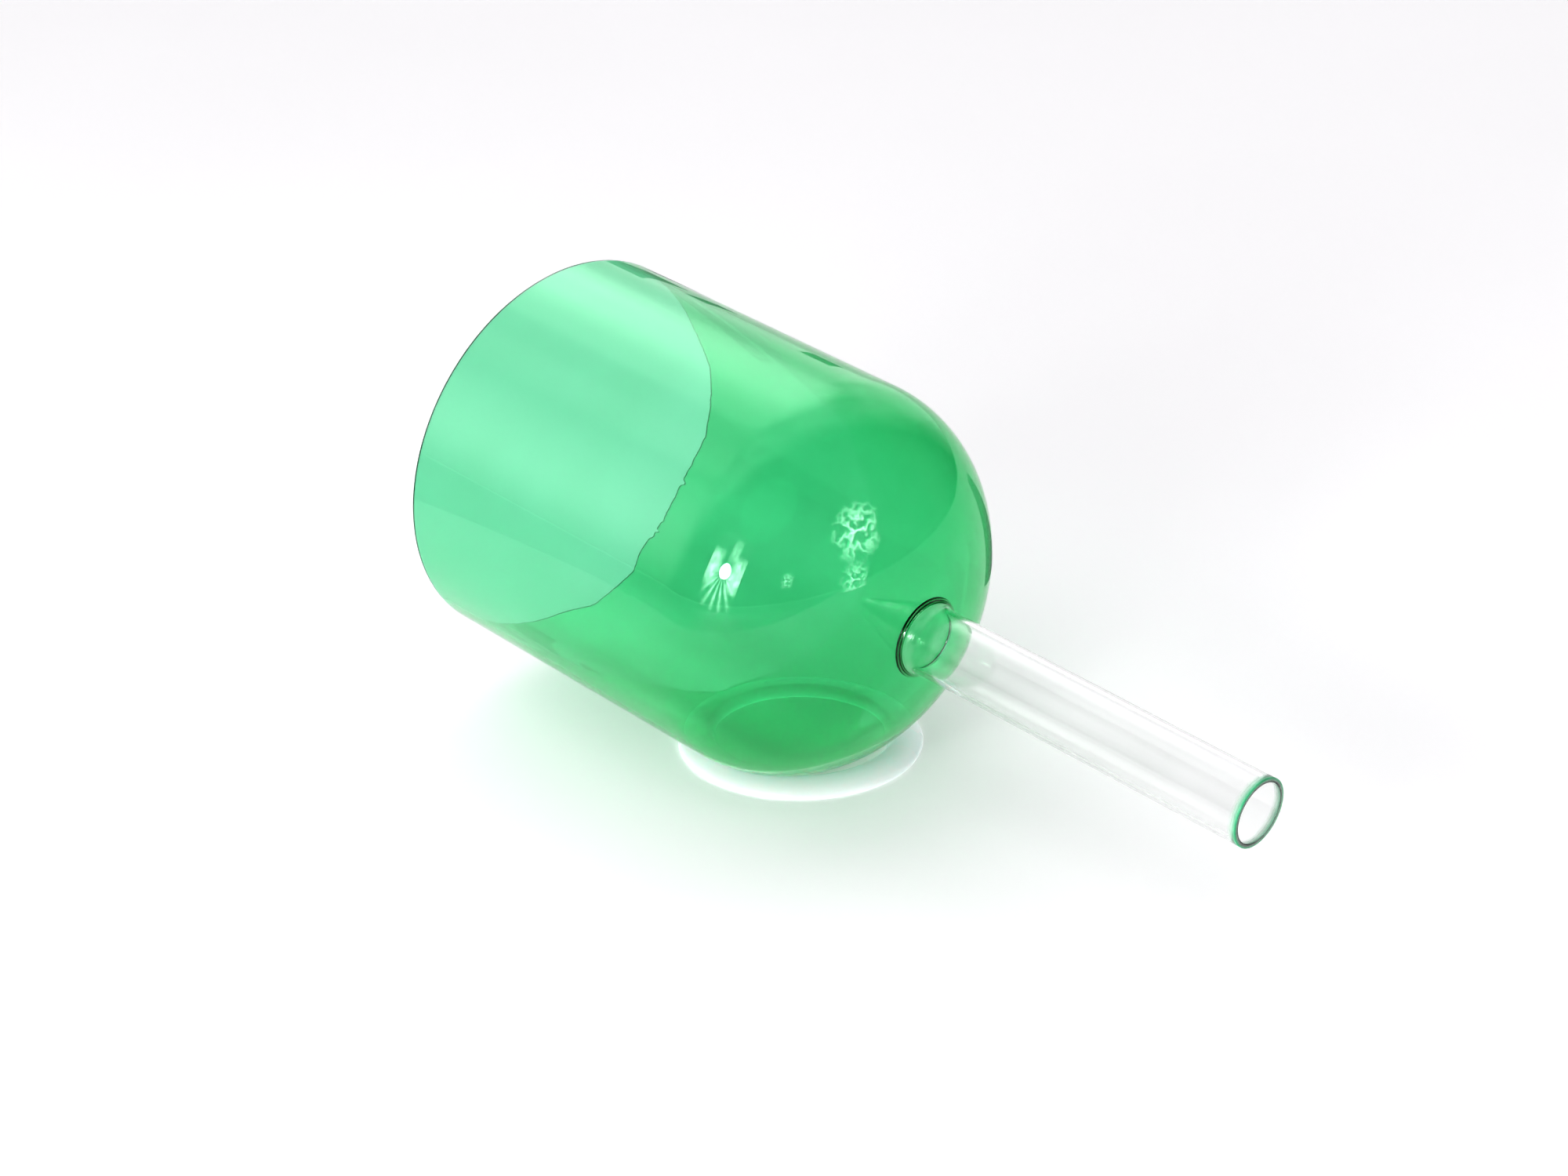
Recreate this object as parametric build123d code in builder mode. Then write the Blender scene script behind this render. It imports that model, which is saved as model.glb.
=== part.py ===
from build123d import *
from math import cos, radians, sin
import os

# A thin blown-glass bell with a glass stem sealed to its domed end.
# It lies on its side on a low ring, which keeps it from rolling.
# Millimetres, +Z up, table at z = 0, bell axis in the XZ plane with the stem towards +X.
# The origin is under the middle of the whole object.

# bell: a straight cylinder closed by an elliptical dome, open at the other end
bell_radius = 65.0
bell_wall = 1.0
cylinder_length = 112.0
dome_height = 51.5
pole_wall = 1.1

# stem: a clear tube butted on the dome's pole, with a foot flared inside and out
stem_radius = 11.0
stem_wall = 1.5
stem_length = 126.5
flare_radius = 12.6
flare_bore_radius = 11.1
flare_height = 4.5

# seal: the thin collar of gathered green glass that welds the stem's foot to the dome
seal_radius = 13.2
seal_thickness = 0.6

# ring: a low rounded hoop, flat underneath
ring_inner_radius = 28.5
ring_crest_radius = 31.0
ring_outer_radius = 39.5
ring_height = 4.0

# how the bell lies on the ring: the dome end dips towards the table
ring_station = 101.0
ring_offset = 8.0
rest_angle = 5.1
axis_height = 66.9

# broken-off rim: the lower back half runs off in two shallow scallops
break_angle = 127.0
scallop_depth = 4.3
scallop_spacing = 38.0
ripple = 0.5

# placement of the bell's axis
tilt = radians(rest_angle)
total_length = cylinder_length + dome_height + stem_length
axis_direction = Vector(cos(tilt), 0, -sin(tilt))
bell_up = Vector(sin(tilt), 0, cos(tilt))
mouth_x = (bell_radius * sin(tilt) - total_length * cos(tilt) - stem_radius * sin(tilt)) / 2
mouth_z = axis_height + ring_station * sin(tilt)
mouth_centre = Vector(mouth_x, 0, mouth_z)
bell_axis = Axis(mouth_centre, axis_direction)
section_plane = Plane(origin=mouth_centre, x_dir=axis_direction, z_dir=(0, -1, 0))
ring_x = mouth_x + ring_station * cos(tilt)


def bell_section(radius, height):
    """Half section of a solid bell, from its axis out to this radius and dome height."""
    with BuildSketch(section_plane) as section:
        with BuildLine():
            Polyline((0, 0), (0, radius), (cylinder_length, radius))
            EllipticalCenterArc((cylinder_length, 0), height, radius, 0, arc_size=90)
            Line((cylinder_length + height, 0), (0, 0))
        make_face()
    return section.sketch


def save(piece, name):
    """Label a finished piece and write it as one STEP file."""
    piece.part.label = name
    export_step(piece.part, f"parts/{name}.step")


os.makedirs("parts", exist_ok=True)

# Bell shell: thin wall, a little thicker at the dome's pole.
with BuildPart() as bell_shell:
    revolve(bell_section(bell_radius, dome_height), axis=bell_axis)
    hollow = bell_section(bell_radius - bell_wall, dome_height - pole_wall)
    revolve(hollow, axis=bell_axis, mode=Mode.SUBTRACT)
    # The rim broke off true round the upper front half and wandered round the rest.
    break_side = bell_up * cos(radians(break_angle)) + Vector(0, sin(radians(break_angle)), 0)
    with BuildSketch(Plane(origin=mouth_centre, x_dir=axis_direction, z_dir=break_side)):
        with BuildLine():
            Spline(
                (0, -bell_radius - 1),
                (ripple, -1.45 * scallop_spacing),
                (scallop_depth, -scallop_spacing),
                (ripple, -0.35 * scallop_spacing),
                (ripple, 0.35 * scallop_spacing),
                (scallop_depth, scallop_spacing),
                (ripple, 1.45 * scallop_spacing),
                (0, bell_radius + 1),
            )
            Polyline(
                (0, bell_radius + 1),
                (-scallop_depth, bell_radius + 1),
                (-scallop_depth, -bell_radius - 1),
                (0, -bell_radius - 1),
            )
        make_face()
    extrude(amount=bell_radius + 1, mode=Mode.SUBTRACT)
save(bell_shell, "bell_shell")

# Stem tube: open at its free end, closed by the dome at its foot.
pole = cylinder_length + dome_height
stem_bore_radius = stem_radius - stem_wall
with BuildPart() as stem_tube:
    with BuildSketch(section_plane):
        with BuildLine():
            Polyline(
                (pole + flare_height, stem_bore_radius),
                (pole + stem_length, stem_bore_radius),
                (pole + stem_length, stem_radius),
                (pole + flare_height, stem_radius),
            )
            EllipticalCenterArc(
                (pole + flare_height, flare_radius),
                flare_height,
                flare_radius - stem_radius,
                180,
                arc_size=90,
            )
            Polyline(
                (pole, flare_radius),
                (pole - flare_height, flare_radius),
                (pole - flare_height, flare_bore_radius),
                (pole, flare_bore_radius),
            )
            EllipticalCenterArc(
                (pole + flare_height, flare_bore_radius),
                flare_height,
                flare_bore_radius - stem_bore_radius,
                180,
                arc_size=90,
            )
        make_face()
    revolve(axis=bell_axis)
    under_foot = bell_section(bell_radius + seal_thickness, dome_height + seal_thickness)
    revolve(under_foot, axis=bell_axis, mode=Mode.SUBTRACT)
save(stem_tube, "stem_tube")

# Seal collar: lies on the dome under the foot, and its rounded edge stands out past the foot.
with BuildPart() as seal_collar:
    with BuildSketch(section_plane):
        with BuildLine():
            Polyline(
                (pole + seal_thickness, flare_radius),
                (pole + seal_thickness, flare_bore_radius),
                (pole - flare_height, flare_bore_radius),
                (pole - flare_height, seal_radius),
                (pole - 2 * seal_thickness, seal_radius),
            )
            EllipticalCenterArc(
                (pole - 2 * seal_thickness, flare_radius),
                3 * seal_thickness,
                seal_radius - flare_radius,
                0,
                arc_size=90,
            )
        make_face()
    revolve(axis=bell_axis)
    revolve(bell_section(bell_radius, dome_height), axis=bell_axis, mode=Mode.SUBTRACT)
    add(stem_tube.part, mode=Mode.SUBTRACT)
save(seal_collar, "seal_collar")

# Rest ring: flat base, crest near the bore and a long rounded outer shoulder.
ring_centre = Vector(ring_x, ring_offset, 0)
with BuildPart() as rest_ring:
    with BuildSketch(Plane(origin=ring_centre, x_dir=(1, 0, 0), z_dir=(0, -1, 0))):
        with BuildLine():
            Line((ring_inner_radius, 0), (ring_outer_radius, 0))
            EllipticalCenterArc(
                (ring_crest_radius, 0),
                ring_outer_radius - ring_crest_radius,
                ring_height,
                0,
                arc_size=90,
            )
            EllipticalCenterArc(
                (ring_crest_radius, 0),
                ring_crest_radius - ring_inner_radius,
                ring_height,
                90,
                arc_size=90,
            )
        make_face()
    revolve(axis=Axis(ring_centre, (0, 0, 1)))
save(rest_ring, "rest_ring")
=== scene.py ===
import math
from functools import partial

import bmesh
import bpy
from mathutils import Matrix, Quaternion, Vector, noise


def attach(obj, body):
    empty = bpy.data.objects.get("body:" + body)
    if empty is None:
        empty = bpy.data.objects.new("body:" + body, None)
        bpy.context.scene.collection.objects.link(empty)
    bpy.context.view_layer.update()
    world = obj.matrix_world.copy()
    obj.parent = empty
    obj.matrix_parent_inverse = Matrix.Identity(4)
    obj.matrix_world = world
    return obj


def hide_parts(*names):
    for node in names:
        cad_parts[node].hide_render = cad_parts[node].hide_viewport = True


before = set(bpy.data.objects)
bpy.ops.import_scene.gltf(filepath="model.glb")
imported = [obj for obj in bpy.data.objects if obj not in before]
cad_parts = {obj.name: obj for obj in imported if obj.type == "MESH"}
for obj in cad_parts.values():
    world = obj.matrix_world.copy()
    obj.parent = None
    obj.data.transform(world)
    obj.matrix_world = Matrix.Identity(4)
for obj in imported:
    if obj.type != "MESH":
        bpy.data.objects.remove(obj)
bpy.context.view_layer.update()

# The sizes are part.py's driving dimensions in millimetres, so the glass sits where the CAD has it.
# on_bell and on_ring turn them into metres.
MM = 0.001

BELL_RADIUS = 65.0
BELL_WALL = 1.0
CYLINDER_LENGTH = 112.0
DOME_HEIGHT = 51.5
POLE_WALL = 1.1

STEM_RADIUS = 11.0
STEM_BORE = 9.5
STEM_LENGTH = 126.5
FLARE_RADIUS = 12.6
FLARE_BORE = 11.1
FLARE_HEIGHT = 4.5

SEAL_RADIUS = 13.2
SEAL_THICKNESS = 0.6

RING_INNER = 28.5
RING_CREST = 31.0
RING_OUTER = 39.5
RING_HEIGHT = 4.0

RING_STATION = 101.0
RING_OFFSET = 8.0
TILT = math.radians(5.1)
AXIS_HEIGHT = 66.9

POLE = CYLINDER_LENGTH + DOME_HEIGHT
LENGTH = POLE + STEM_LENGTH
MOUTH_X = (
    BELL_RADIUS * math.sin(TILT) - LENGTH * math.cos(TILT) - STEM_RADIUS * math.sin(TILT)
) / 2
MOUTH_Z = AXIS_HEIGHT + RING_STATION * math.sin(TILT)
RING_X = MOUTH_X + RING_STATION * math.cos(TILT)

AXIS = Vector((math.cos(TILT), 0, -math.sin(TILT)))
UP = Vector((math.sin(TILT), 0, math.cos(TILT)))
SIDE = Vector((0, 1, 0))
MOUTH = Vector((MOUTH_X, 0, MOUTH_Z))

# finishing that only this model has: softened edges, and feet sunk a little so that no gap shows under them
SHARP_ANGLE = math.radians(35)
STEM_FILLET = 0.2
RING_FILLET = 0.4
SUNK = 0.12
BREAK_REACH = 40.0


def on_bell(station, radius, angle):
    """A point of the lying glass: its station from the mouth, its radius, and its angle from the top."""
    return (MOUTH + AXIS * station + UP * (radius * math.cos(angle)) - SIDE * (radius * math.sin(angle))) * MM


def on_ring(height, radius, angle):
    """A point of the rest ring."""
    return Vector(
        (RING_X + radius * math.cos(angle), RING_OFFSET + radius * math.sin(angle), height)
    ) * MM


def show(name, mesh):
    """Puts a mesh into the scene as one object."""
    piece = bpy.data.objects.new(name, mesh)
    bpy.context.scene.collection.objects.link(piece)
    return piece


def lathe(name, profile, place, segments, shape=None, marks=None):
    """Turns a closed profile of (station, radius) round the axis. A radius of 0 is a pole.

    shape moves a point of the profile at one angle. marks names point attributes for the materials,
    each with one number for every point of the profile.
    """
    verts, rows = [], []
    for station, radius in profile:
        if radius <= 0:
            rows.append([len(verts)])
            verts.append(place(station, 0.0, 0.0))
            continue
        row = []
        for i in range(segments):
            angle = 2 * math.pi * i / segments
            s, r = shape(station, radius, angle) if shape else (station, radius)
            row.append(len(verts))
            verts.append(place(s, r, angle))
        rows.append(row)
    faces = []
    for a, b in zip(rows, rows[1:] + rows[:1]):
        if len(a) == 1 and len(b) == 1:
            continue
        for i in range(segments):
            j = (i + 1) % segments
            if len(a) == 1:
                faces.append((a[0], b[j], b[i]))
            elif len(b) == 1:
                faces.append((a[i], a[j], b[0]))
            else:
                faces.append((a[i], a[j], b[j], b[i]))
    mesh = bpy.data.meshes.new(name)
    mesh.from_pydata(verts, [], faces)
    work = bmesh.new()
    work.from_mesh(mesh)
    bmesh.ops.recalc_face_normals(work, faces=work.faces)
    work.to_mesh(mesh)
    work.free()
    for mark, values in (marks or {}).items():
        spread = [value for value, row in zip(values, rows) for _ in row]
        mesh.attributes.new(mark, "FLOAT", "POINT").data.foreach_set("value", spread)
    mesh.shade_smooth()
    mesh.set_sharp_from_angle(angle=SHARP_ANGLE)
    return show(name, mesh)


def quarter(centre, radii, start, stop, steps):
    """Points of an elliptical arc, angles in degrees."""
    points = []
    for i in range(steps + 1):
        t = math.radians(start + (stop - start) * i / steps)
        points.append((centre[0] + radii[0] * math.cos(t), centre[1] + radii[1] * math.sin(t)))
    return points


# ---------------------------------------------------------------- the bell
def lump(value, centre, width):
    """A smooth hump, 1 at its centre and 0 past its width, for an angle in degrees."""
    d = abs((value - centre + 180) % 360 - 180) / width
    return 0.5 + 0.5 * math.cos(math.pi * d) if d < 1 else 0.0


def rim_offset(angle):
    """How far the broken rim runs in from the mouth plane: scallops, ragged between them, with a few chips."""
    a = math.degrees(angle) % 360
    p = Vector((math.cos(angle), math.sin(angle), 0.3))
    scallops = ((4.2, 1.7, 199, 20), (4.3, 1.5, 268, 30), (0.45, 3, 233, 24))
    ragged = ((0.5, 9), (0.4, 26), (0.3, 70))
    chips = ((1.9, 240, 1.3), (1.2, 221, 1.6), (1.6, 223, 0.9), (0.8, 227, 1.2))
    cut = sum(depth * min(1.0, steepness * lump(a, centre, width)) for depth, steepness, centre, width in scallops)
    cut += lump(a, 232, 92) * sum(height * noise.noise(p * scale) for height, scale in ragged)
    for depth, centre, width in chips:
        cut += depth * lump(a, centre, width)
    cut += 0.03 * noise.noise(p * 40)
    return max(0.0, cut)


def bell_shape(station, radius, angle):
    """Pulls the cylinder in behind the broken rim, less and less over its first few centimetres."""
    if station < CYLINDER_LENGTH:
        station += rim_offset(angle) * max(0.0, 1 - station / BREAK_REACH)
    return station, radius


def dome(radius, height, steps=44):
    """A dome's profile, from its edge to its pole."""
    points = []
    for i in range(1, steps + 1):
        t = math.pi / 2 * i / steps
        points.append((CYLINDER_LENGTH + height * math.sin(t), radius * math.cos(t) if i < steps else 0.0))
    return points


# the profile runs from the outer lip to the pole, then back inside to the inner lip
inner_radius = BELL_RADIUS - BELL_WALL
stations = [0.35, 1.2, 3, 6, 11, 18, 28, 40, 54, 68, 82, 96, 106, 112]
# the lip's rounded corner: the station, and how far the wall has drawn in there
lip = ((0.0, 0.18), (0.08, 0.05))
outer = [(s, BELL_RADIUS - d) for s, d in lip]
outer += [(s, BELL_RADIUS) for s in stations] + dome(BELL_RADIUS, DOME_HEIGHT)
inner = dome(inner_radius, DOME_HEIGHT - POLE_WALL)[::-1]
inner += [(s, inner_radius) for s in stations[::-1]]
inner += [(s, inner_radius + d) for s, d in lip[::-1]]
# the dust inside thins out from the middle of the cylinder to the dome
bell_marks = {
    # the first mark picks the rim faces that get the painted dark edge line
    "cut_edge_painted_tone": [float(s < 0.1) for s, r in outer + inner],
    "dusty": [0.0] * len(outer) + [(s > 0.1) * max(0.15, min(1.0, 1.6 - s / 110)) for s, r in inner],
}
bell = lathe("bell_glass", outer + inner, on_bell, 560, bell_shape, bell_marks)


# ---------------------------------------------------------------- the stem and its seal
def dome_station(radius):
    """Where the dome's outside is at this radius."""
    return CYLINDER_LENGTH + DOME_HEIGHT * math.sqrt(1 - (radius / BELL_RADIUS) ** 2)


def collar_station(radius):
    """Where the top of the seal's collar is at this radius."""
    return dome_station(radius) + SEAL_THICKNESS


# the stem's profile runs outside from the flared foot to the cut end, then back through the bore
flare_top = POLE + FLARE_HEIGHT
fillet = (STEM_FILLET, STEM_FILLET)
straight = (4, 12, 26, 44, 64, 84, 100, 112, 119)
stem_profile = [(collar_station(FLARE_RADIUS) - SUNK, FLARE_RADIUS - 0.05)]
stem_profile += quarter((flare_top, FLARE_RADIUS), (FLARE_HEIGHT, FLARE_RADIUS - STEM_RADIUS), 190, 270, 14)
stem_profile += [(flare_top + d, STEM_RADIUS) for d in straight]
stem_profile += quarter((LENGTH - STEM_FILLET, STEM_RADIUS - STEM_FILLET), fillet, 90, 0, 4)
stem_profile += quarter((LENGTH - STEM_FILLET, STEM_BORE + STEM_FILLET), fillet, 0, -90, 3)
stem_profile += [(flare_top + d, STEM_BORE) for d in straight[::-1]]
stem_profile += quarter((flare_top, FLARE_BORE), (FLARE_HEIGHT, FLARE_BORE - STEM_BORE), 270, 190, 14)
stem_profile += [(collar_station(FLARE_BORE) - SUNK, FLARE_BORE + 0.05)]
# only the outer half of the cut end is ground and carries the painted green reflection
stem_marks = {"cut_edge_painted_tone": [float(s > LENGTH - 0.21 and r > STEM_BORE + 0.7) for s, r in stem_profile]}
stem = lathe("stem_glass", stem_profile, on_bell, 480, marks=stem_marks)

collar_profile = [(dome_station(FLARE_BORE) - SUNK, FLARE_BORE + 0.1)]
collar_profile += [(dome_station(FLARE_BORE) + 0.2, FLARE_BORE), (collar_station(FLARE_BORE), FLARE_BORE + 0.15)]
collar_profile += quarter(
    (dome_station(FLARE_RADIUS) - 0.1, FLARE_RADIUS), (SEAL_THICKNESS + 0.1, SEAL_RADIUS - FLARE_RADIUS), 0, 90, 10
)
collar_profile += [(dome_station(SEAL_RADIUS) - SUNK, SEAL_RADIUS - 0.1)]
collar = lathe("seal_glass", collar_profile, on_bell, 320)

# ---------------------------------------------------------------- the rest ring
crest = (RING_FILLET, RING_CREST)
crest_height = RING_HEIGHT - RING_FILLET
ring_profile = [(0.0, RING_INNER + RING_FILLET), (0.12, RING_INNER + 0.1), (RING_FILLET, RING_INNER)]
ring_profile += quarter(crest, (crest_height, RING_CREST - RING_INNER), -90, 0, 12)[1:]
ring_profile += quarter(crest, (crest_height, RING_OUTER - RING_CREST), 0, 90, 20)[1:]
ring_profile += [(0.12, RING_OUTER - 0.1), (0.0, RING_OUTER - RING_FILLET)]
ring = lathe("ring_band", ring_profile, on_ring, 192)


# ---------------------------------------------------------------- materials
def material(name):
    """A new material, with its nodes, its links and its shader."""
    m = bpy.data.materials.new(name)
    m.use_nodes = True
    nodes = m.node_tree.nodes
    return m, nodes, m.node_tree.links, nodes["Principled BSDF"]


def lying_coords(nodes, links, scale=(1, 1, 1)):
    """Object coordinates turned so that X runs along the bell, stretched by scale."""
    coords = nodes.new("ShaderNodeTexCoord")
    turn = nodes.new("ShaderNodeMapping")
    turn.inputs["Rotation"].default_value = (0, -TILT, 0)
    stretch = nodes.new("ShaderNodeMapping")
    stretch.inputs["Scale"].default_value = scale
    links.new(coords.outputs["Object"], turn.inputs["Vector"])
    links.new(turn.outputs["Vector"], stretch.inputs["Vector"])
    return stretch.outputs["Vector"]


def noise_on(nodes, links, vector, scale, detail, roughness=0.5):
    """Noise over these coordinates."""
    texture = nodes.new("ShaderNodeTexNoise")
    texture.inputs["Scale"].default_value = scale
    texture.inputs["Detail"].default_value = detail
    texture.inputs["Roughness"].default_value = roughness
    links.new(vector, texture.inputs["Vector"])
    return texture.outputs["Fac"]


def ramp(nodes, links, value, *stops):
    """A colour ramp between (position, colour) stops. A colour may be one number for a grey."""
    r = nodes.new("ShaderNodeValToRGB")
    elements = r.color_ramp.elements
    while len(elements) < len(stops):
        elements.new(0.5)
    for element, (position, colour) in zip(elements, stops):
        element.position = position
        element.color = (*colour, 1) if isinstance(colour, tuple) else (colour, colour, colour, 1)
    links.new(value, r.inputs["Fac"])
    return r.outputs["Color"]


def maths(nodes, links, operation, *values):
    """A math node over numbers and sockets."""
    node = nodes.new("ShaderNodeMath")
    node.operation = operation
    for value, socket in zip(values, node.inputs):
        if isinstance(value, (int, float)):
            socket.default_value = value
        else:
            links.new(value, socket)
    return node.outputs[0]


def mixed(nodes, links, share, low, high, blend="MIX"):
    """Blends two colours by a share, from 0 to 1. The share and the colours may be sockets."""
    mix = nodes.new("ShaderNodeMix")
    mix.data_type = "RGBA"
    mix.blend_type = blend
    for value, socket in ((share, mix.inputs["Factor"]), (low, mix.inputs["A"]), (high, mix.inputs["B"])):
        if isinstance(value, tuple):
            socket.default_value = (*value, 1)
        elif isinstance(value, float):
            socket.default_value = value
        else:
            links.new(value, socket)
    return mix.outputs["Result"]


def marked(nodes, name):
    """The number that the mesh carries under this name."""
    attribute = nodes.new("ShaderNodeAttribute")
    attribute.attribute_name = name
    return attribute.outputs["Fac"]


def bump(nodes, links, shader, height, strength, distance):
    """Fine relief."""
    b = nodes.new("ShaderNodeBump")
    b.inputs["Strength"].default_value = strength
    b.inputs["Distance"].default_value = distance
    links.new(height, b.inputs["Height"])
    links.new(b.outputs["Normal"], shader.inputs["Normal"])


def absorb(nodes, links, colour, density):
    """What the glass takes out of light along its way through it."""
    volume = nodes.new("ShaderNodeVolumeAbsorption")
    volume.inputs["Color"].default_value = (*colour, 1)
    volume.inputs["Density"].default_value = density
    links.new(volume.outputs["Volume"], nodes["Material Output"].inputs["Volume"])


def glass(name, ior, tint, density, roughness, draw, low, painted_edge_colour=None, ground=0.0, dust=0.0):
    """Polished glass with faint draw lines along it and handling marks.

    Where the mesh marks the cut edge, it takes a painted edge colour, a tone painted in for how the edge looks in the
    light rather than a colour of the glass, and it is ground, as far as ground says.
    Where it is marked dusty, it carries a soft, uneven film. A glass has one of the two.
    """
    m, nodes, links, shader = material(name)
    calc = partial(maths, nodes, links)
    lines = noise_on(nodes, links, lying_coords(nodes, links, (0.6, 60, 60)), 4, 3)
    cloud = noise_on(nodes, links, lying_coords(nodes, links, (14, 18, 18)), 2, 4)
    colour = ramp(nodes, links, cloud, (0.3, low), (0.7, (1, 1, 1)))
    haze = ramp(nodes, links, cloud, (0.35, roughness), (0.75, roughness * 3))
    if painted_edge_colour:
        # the cut edge gets a painted tone in place of its look in the light: a painted dark line or a painted green
        # reflection
        cut = marked(nodes, "cut_edge_painted_tone")
        colour = mixed(nodes, links, cut, colour, painted_edge_colour)
        haze = mixed(nodes, links, cut, haze, (0.35, 0.35, 0.35))
    if dust:
        soft = noise_on(nodes, links, lying_coords(nodes, links, (9, 9, 9)), 2, 2)
        film = calc("MULTIPLY", marked(nodes, "dusty"), dust)
        film = calc("MULTIPLY", film, calc("MULTIPLY_ADD", soft, 0.9, 0.55))
        links.new(calc("SUBTRACT", 1.0, film), shader.inputs["Transmission Weight"])
    elif ground:
        links.new(calc("SUBTRACT", 1.0, calc("MULTIPLY", cut, ground)), shader.inputs["Transmission Weight"])
    else:
        shader.inputs["Transmission Weight"].default_value = 1.0
    shader.inputs["IOR"].default_value = ior
    links.new(colour, shader.inputs["Base Color"])
    links.new(haze, shader.inputs["Roughness"])
    bump(nodes, links, shader, lines, 1.0, draw)
    absorb(nodes, links, tint, density)
    return m


green_glass = glass(
    "bell_green",
    ior=1.5,
    tint=(0.0, 0.88, 0.525),
    density=1160,
    roughness=0.004,
    draw=0.000006,
    low=(0.95, 0.975, 0.955),
    # painted shade: the near-black edge colour paints in the dark line that the broken rim shows by refraction
    painted_edge_colour=(0.004, 0.03, 0.02),
    dust=0.17,
)
clear_glass = glass(
    "stem_clear",
    ior=1.48,
    tint=(0.3, 0.36, 0.3),
    density=22,
    roughness=0.002,
    draw=0.0000002,
    low=(0.97, 0.975, 0.97),
    # painted reflection: the emerald colour on the ground end stands in for green light from the bell carried along
    # the clear wall
    painted_edge_colour=(0.07, 0.6, 0.28),
    ground=0.8,
)
seal_glass = glass(
    "seal_dark",
    ior=1.5,
    tint=(0.02, 0.72, 0.45),
    density=1700,
    roughness=0.01,
    draw=0.00001,
    low=(0.94, 0.985, 0.96),
)

ring_plastic, nodes, links, shader = material("ring_milky")
shader.inputs["IOR"].default_value = 1.46
shader.inputs["Subsurface Weight"].default_value = 1.0
shader.inputs["Subsurface Radius"].default_value = (0.004, 0.005, 0.005)
shader.inputs["Subsurface Scale"].default_value = 1.0
# painted light: a faint pale glow in the ring stands in for light from the lit sheet coming through it; the ring is
# no lamp
shader.inputs["Emission Color"].default_value = (0.85, 1.0, 0.97, 1)
shader.inputs["Emission Strength"].default_value = 0.12
cloud = noise_on(nodes, links, lying_coords(nodes, links), 60, 5)
milk = ramp(nodes, links, cloud, (0.3, (0.9, 0.985, 0.97)), (0.7, (0.96, 0.998, 0.99)))
links.new(milk, shader.inputs["Base Color"])
links.new(ramp(nodes, links, cloud, (0.3, 0.22), (0.7, 0.32)), shader.inputs["Roughness"])
bump(nodes, links, shader, noise_on(nodes, links, lying_coords(nodes, links), 160, 2), 0.25, 0.00005)

for piece, finish, slot, node, body in (
    (bell, green_glass, "green_glass", "bell_shell", "bell"),
    (stem, clear_glass, "clear_glass", "stem_tube", "bell"),
    (collar, seal_glass, "seal_glass", "seal_collar", "bell"),
    (ring, ring_plastic, "ring_plastic", "rest_ring", "ring"),
):
    piece.data.materials.append(finish)
    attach(piece, body)
    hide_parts(node)

# ---------------------------------------------------------------- the sheet on the table, in metres
sheet_side = 48
sheet_step = 0.4
sheet_start = -9.4
floor_mesh = bpy.data.meshes.new("floor")
floor_mesh.from_pydata(
    [
        (x * sheet_step + sheet_start, y * sheet_step + sheet_start, 0.0)
        for y in range(sheet_side)
        for x in range(sheet_side)
    ],
    [],
    [
        (k, k + 1, k + 1 + sheet_side, k + sheet_side)
        for y in range(sheet_side - 1)
        for k in range(y * sheet_side, y * sheet_side + sheet_side - 1)
    ],
)
floor = show("floor", floor_mesh)
floor_paper, nodes, links, shader = material("floor_paper")
grain = noise_on(nodes, links, lying_coords(nodes, links), 3, 6)
links.new(ramp(nodes, links, grain, (0.3, 0.93), (0.7, 0.96)), shader.inputs["Base Color"])
links.new(ramp(nodes, links, grain, (0.3, 0.5), (0.7, 0.6)), shader.inputs["Roughness"])
shader.inputs["Specular IOR Level"].default_value = 0.0
# a translucent sheet lit from below as well as from above
shader.inputs["Emission Color"].default_value = (1, 1, 1, 1)
shader.inputs["Emission Strength"].default_value = 0.2
floor_mesh.materials.append(floor_paper)


# ---------------------------------------------------------------- the room
def facing(nodes, links, direction, goal):
    """How much a direction of view faces the goal."""
    node = nodes.new("ShaderNodeVectorMath")
    node.operation = "DOT_PRODUCT"
    node.inputs[1].default_value = goal
    links.new(direction, node.inputs[0])
    return node.outputs["Value"]


# a bright backdrop on the left and behind, a dim room on the camera's side and the right, with soft uneven patches
world = bpy.data.worlds.new("studio")
bpy.context.scene.world = world
world.use_nodes = True
nodes, links = world.node_tree.nodes, world.node_tree.links
sky = nodes.new("ShaderNodeTexCoord").outputs["Generated"]
levels = ((0.0, 0.06), (0.28, 0.1), (0.5, 0.75), (0.8, 1.0), (1.0, 1.1))
stops = [(position, (level, level * 0.975, level * 1.01)) for position, level in levels]
backdrop = ramp(nodes, links, facing(nodes, links, sky, (-0.896, 0.24, 0.375)), *stops)
sweep = ramp(nodes, links, facing(nodes, links, sky, (0.83, 0.52, 0.2)), (0.55, 0.0), (0.95, 0.3))
patches = ramp(nodes, links, noise_on(nodes, links, sky, 2.6, 2), (0.38, 0.7), (0.55, 1.05))
room = mixed(nodes, links, 1.0, mixed(nodes, links, 1.0, backdrop, sweep, "ADD"), patches, "MULTIPLY")
links.new(room, nodes["Background"].inputs["Color"])
nodes["Background"].inputs["Strength"].default_value = 1.0


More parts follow.
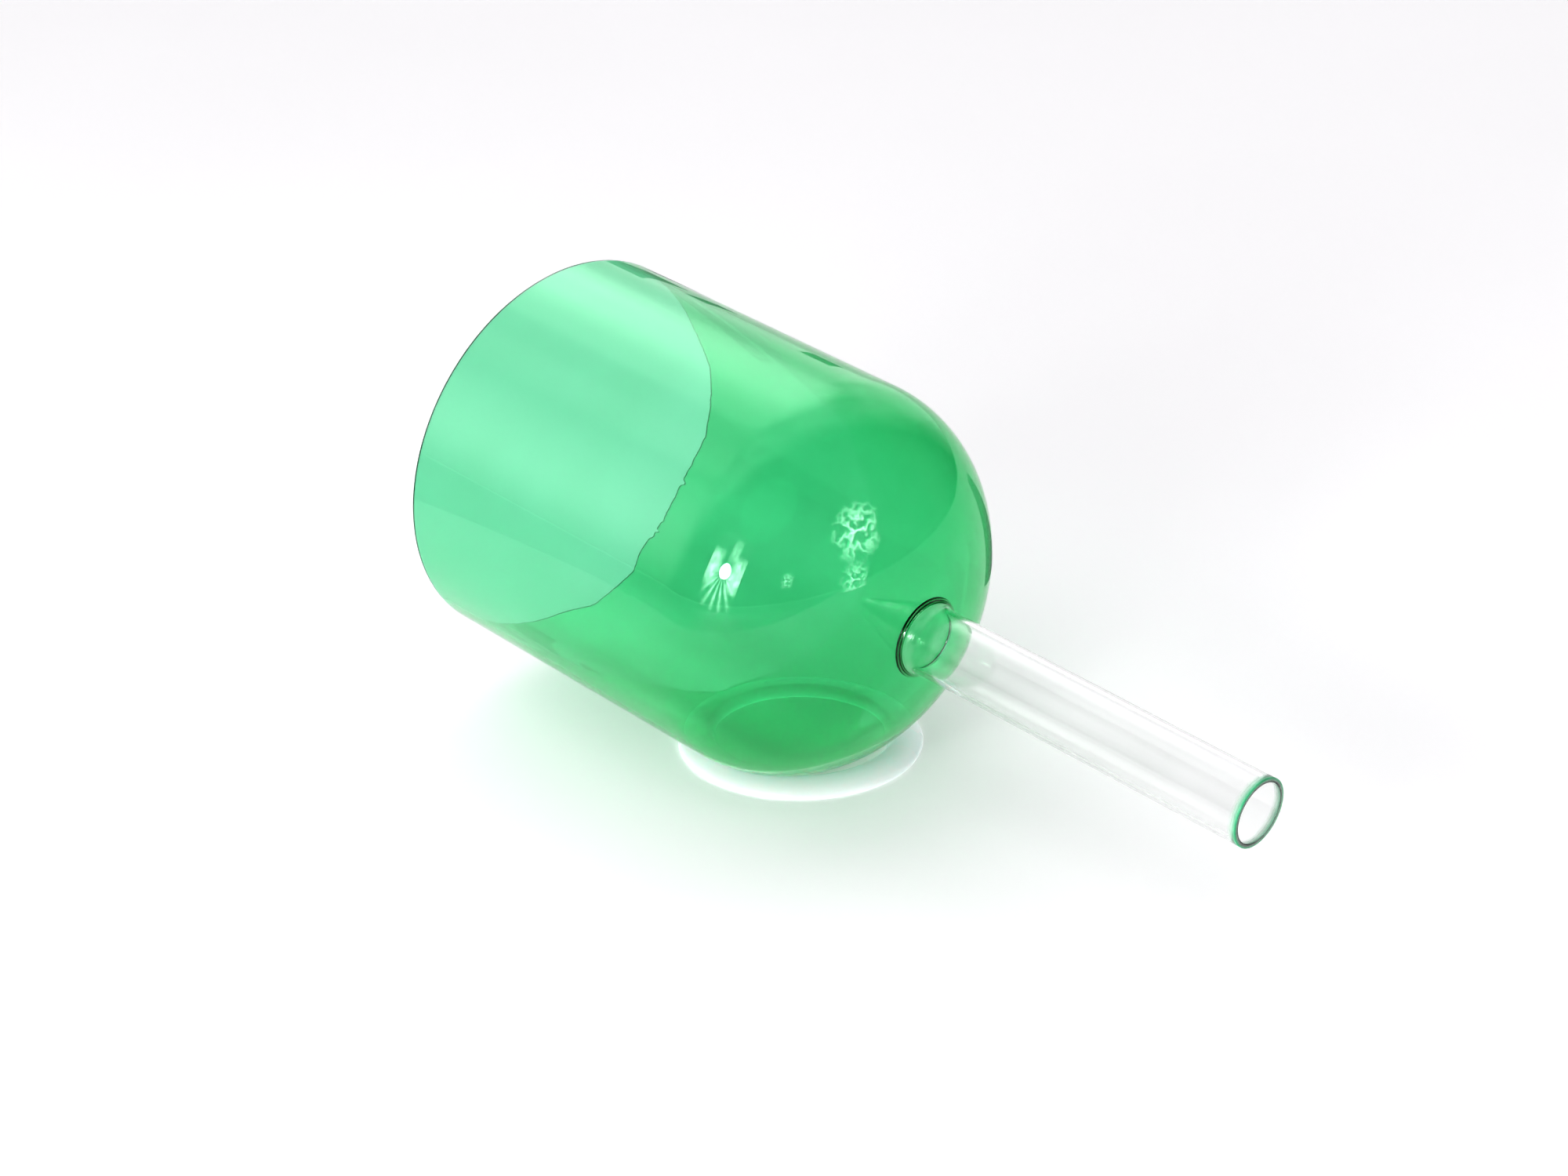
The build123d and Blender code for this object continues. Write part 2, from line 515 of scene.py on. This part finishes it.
# ---------------------------------------------------------------- lamps
def lamp(name, azimuth, elevation, distance, size, radiance, pattern=None, shows=True, lights=True, turn=0):
    """A soft disc lamp, placed by its direction from the bell and facing it.

    pattern gives its brightness over the disc. shows is whether reflections see it, and lights is whether it
    lights matt surfaces.
    """
    target = on_bell(115, 0, 0)
    a, e = math.radians(azimuth), math.radians(elevation)
    away = Vector((math.cos(a) * math.cos(e), math.sin(a) * math.cos(e), math.sin(e)))
    light = bpy.data.lights.new(name, "AREA")
    light.shape = "DISK"
    light.size = size
    light.energy = radiance * math.pi * math.pi * size * size / 4
    if pattern:
        light.use_nodes = True
        nodes, links = light.node_tree.nodes, light.node_tree.links
        links.new(pattern(nodes, links), nodes["Emission"].inputs["Strength"])
    o = show(name, light)
    o.location = target + away * distance
    o.rotation_mode = "QUATERNION"
    o.rotation_quaternion = away.to_track_quat("Z", "Y") @ Quaternion((0, 0, 1), math.radians(turn))
    o.visible_glossy, o.visible_diffuse = shows, lights


def across(nodes, links):
    """Coordinates over an area lamp, from -0.5 to 0.5."""
    geometry = nodes.new("ShaderNodeNewGeometry")
    centre = nodes.new("ShaderNodeVectorMath")
    centre.operation = "SUBTRACT"
    centre.inputs[1].default_value = (0.5, 0.5, 0)
    links.new(geometry.outputs["Parametric"], centre.inputs[0])
    return centre.outputs["Vector"]


def from_centre(nodes, links, slope, start):
    """Fades from start at a lamp's centre, by slope for its diameter, down to 0."""
    length = nodes.new("ShaderNodeVectorMath")
    length.operation = "LENGTH"
    links.new(across(nodes, links), length.inputs[0])
    calc = partial(maths, nodes, links)
    return calc("MAXIMUM", calc("MULTIPLY_ADD", length.outputs["Value"], slope, start), 0.0)


def umbrella(nodes, links):
    """A lit umbrella seen between two flags: a bright wing on each side of its lamp, and thin rays along its ribs."""
    calc = partial(maths, nodes, links)

    def hump(value, centre, width):
        off = calc("DIVIDE", calc("SUBTRACT", value, centre), width)
        return calc("MAXIMUM", calc("SUBTRACT", 1.0, calc("MULTIPLY", off, off)), 0.0)

    ribs = 18
    flag = 0.31
    place = across(nodes, links)
    spot = nodes.new("ShaderNodeSeparateXYZ")
    links.new(place, spot.inputs["Vector"])
    x, y = spot.outputs["X"], spot.outputs["Y"]
    aside = calc("ABSOLUTE", x)
    wings = calc("MULTIPLY", hump(aside, 0.22, 0.15), hump(y, 0.02, 0.24))
    crown = calc("MULTIPLY", hump(x, 0.06, 0.09), hump(y, 0.27, 0.17))
    turn = nodes.new("ShaderNodeTexGradient")
    turn.gradient_type = "RADIAL"
    links.new(place, turn.inputs["Vector"])
    wave = calc("SINE", calc("MULTIPLY", turn.outputs["Fac"], ribs * 2 * math.pi))
    rays = calc("MULTIPLY", calc("POWER", calc("MULTIPLY_ADD", wave, 0.5, 0.5), 2.0), hump(y, -0.22, 0.26))
    rays = calc("MULTIPLY", rays, hump(aside, 0.0, 0.3))
    cloth = calc("MULTIPLY_ADD", noise_on(nodes, links, place, 11, 4, 0.6), 3.6, -0.8)
    level = calc("MULTIPLY_ADD", wings, 2.2, calc("MULTIPLY_ADD", crown, 1.0, calc("MULTIPLY", rays, 1.8)))
    level = calc("MULTIPLY", level, cloth)
    return calc("MULTIPLY", calc("ADD", level, 0.06), calc("LESS_THAN", aside, flag))


def glow(nodes, links):
    """A broad soft patch that fades from its middle."""
    return maths(nodes, links, "POWER", from_centre(nodes, links, -2, 1), 0.8)


def foil(nodes, links):
    """A crumpled reflector: thin bright creases on a dim sheet."""
    calc = partial(maths, nodes, links)
    spot = across(nodes, links)
    fold = calc("ABSOLUTE", calc("SUBTRACT", noise_on(nodes, links, spot, 3.4, 2, 0.6), 0.5))
    creases = calc("POWER", calc("MAXIMUM", calc("MULTIPLY_ADD", fold, -11.0, 1.0), 0.0), 1.5)
    sheet = calc("MULTIPLY", noise_on(nodes, links, spot, 3, 1, 0.5), 0.06)
    return calc("MULTIPLY", calc("ADD", creases, sheet), from_centre(nodes, links, -2.2, 1.1))


# azimuth and elevation in degrees, distance, size, radiance
lamp("umbrella", -78, 17, 1.2, 0.95, 3.6, umbrella, turn=-12)
lamp("bulb", -77, 18, 1.15, 0.17, 22)
lamp("fill", -55, 52, 2.4, 1.6, 0.9, shows=False)
lamp("reflector", 9, 23, 1.6, 0.9, 12, foil, lights=False)
lamp("spark_left", -34, 11, 1.6, 0.26, 8, foil, lights=False)
lamp("spark_right", 3, 2, 1.6, 0.5, 8, foil, lights=False)
lamp("window_left", -134, 18, 2.0, 1.5, 0.8, glow, lights=False)
lamp("window_back", 146, 42, 2.0, 1.7, 1.7, glow, lights=False)

# ---------------------------------------------------------------- dark things and painted post shadows that only reflections see, in metres
corners, faces = [], []


def card(*points):
    """Adds one flat dark card to the surround."""
    faces.append(tuple(range(len(corners), len(corners) + len(points))))
    corners.extend(points)


# the dim table past the white sheet's near edges
near, far, left, behind = -0.33, 4.0, -0.295, -0.02
card(
    (left, near, 0),
    (0.46, near, 0),
    (far, near, 0),
    (far, -far, 0),
    (-far, -far, 0),
    (-far, behind, 0),
    (left, behind, 0),
)

# things behind the bell: azimuth, width in degrees, and the heights of their top and bottom
post_distance = 1.3
for azimuth, width, high, low in (
    (128.3, 1.0, 0.26, 0.13),
    (132.6, 0.7, 0.15, 0),
    (134.6, 1.4, 0.3, 0),
    (136.4, 0.8, 0.2, 0),
    (144, 3, 0.12, 0),
):
    points = []
    for a, z in ((-width, low), (width, low), (width, high), (-width, high)):
        a = math.radians(azimuth + a / 2)
        points.append((post_distance * math.cos(a), post_distance * math.sin(a), z))
    card(*points)

# painted shadows of the posts, as dark strips lying on the sheet: where they start, their azimuth, and their width
post_shadow_length = 0.6
for x, y, azimuth, width in (
    (-0.150, 0.020, 134, 0.014),
    (-0.198, 0.045, 134, 0.012),
    (-0.133, 0.040, 134, 0.012),
    (-0.082, 0.062, 145, 0.026),
    (-0.045, 0.150, 93, 0.06),
):
    run = Vector((math.cos(math.radians(azimuth)), math.sin(math.radians(azimuth)), 0))
    half = Vector((-run.y, run.x, 0)) * width / 2
    near_end = Vector((x, y, 0.001))
    far_end = near_end + run * post_shadow_length
    card(*(tuple(p) for p in (near_end - half, near_end + half, far_end + half, far_end - half)))

surround_mesh = bpy.data.meshes.new("surround")
surround_mesh.from_pydata([(x, y, z + 0.0005) for x, y, z in corners], [], faces)
surround = show("surround", surround_mesh)
surround.visible_camera = surround.visible_diffuse = surround.visible_shadow = surround.visible_transmission = False
surround_dim, nodes, links, shader = material("surround_dim")
mottle = noise_on(nodes, links, lying_coords(nodes, links), 2, 3)
dim = ramp(nodes, links, mottle, (0.4, (0.3, 0.24, 0.31)), (0.6, (0.5, 0.43, 0.51)))
links.new(dim, shader.inputs["Base Color"])
surround_mesh.materials.append(surround_dim)

# ---------------------------------------------------------------- camera, from the stem's side and 26 degrees up
camera = show("camera", bpy.data.cameras.new("camera"))
bpy.context.scene.camera = camera
camera.data.sensor_width = 36
camera.data.lens = 79.15
camera.data.clip_start = 0.01
camera.data.clip_end = 50
right = Vector((0.7133, 0.7008, -0.0103))
back = Vector((0.6330, -0.6379, 0.4385)).normalized()
right = (right - back * right.dot(back)).normalized()
top = back.cross(right)
camera.matrix_world = Matrix(
    (
        (right.x, top.x, back.x, 0.6455),
        (right.y, top.y, back.y, -0.6911),
        (right.z, top.z, back.z, 0.5330),
        (0, 0, 0, 1),
    )
)

# light passes many walls of glass, and the whites are pushed to pure white
scene = bpy.context.scene
scene.view_settings.view_transform = "Standard"
scene.view_settings.look = "High Contrast"
scene.cycles.max_bounces = 48
scene.cycles.transmission_bounces = 48
scene.cycles.glossy_bounces = 48
scene.cycles.diffuse_bounces = 4
scene.cycles.transparent_max_bounces = 24
